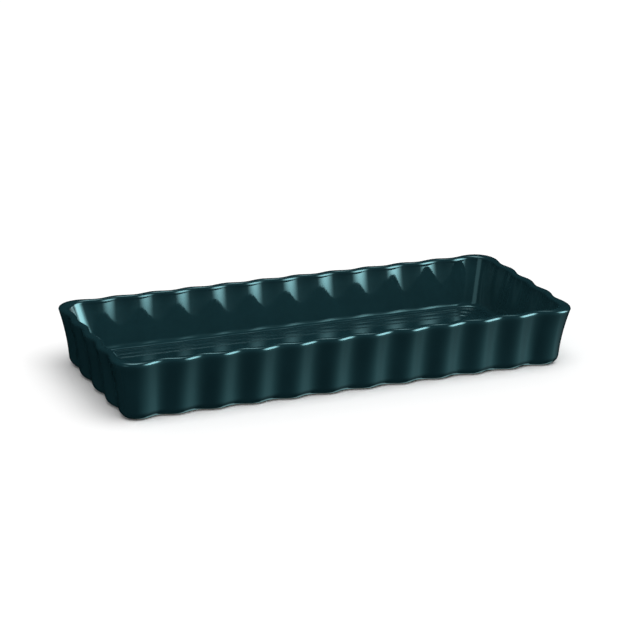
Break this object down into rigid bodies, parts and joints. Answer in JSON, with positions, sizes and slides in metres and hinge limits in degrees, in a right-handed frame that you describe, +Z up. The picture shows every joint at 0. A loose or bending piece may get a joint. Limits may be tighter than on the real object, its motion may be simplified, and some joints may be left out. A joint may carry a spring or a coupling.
{
  "type": "tart pan",
  "caption": "Long rectangular ceramic tart pan with fluted flared walls, rounded rim, flat beaded floor and a bare flat foot.",
  "frame": {"origin": "centre of the footprint, on the plane the foot stands on", "axes": "+X along the long side, +Y across the dish, +Z up out of its open top"},
  "size_m": [0.36, 0.151, 0.0457],
  "materials": {
    "glazed_stoneware": "smooth glossy dark teal glaze, bare clay on the foot"
  },
  "bodies": {
    "root": {"dish_body": "glazed_stoneware"}
  },
  "joints": []
}
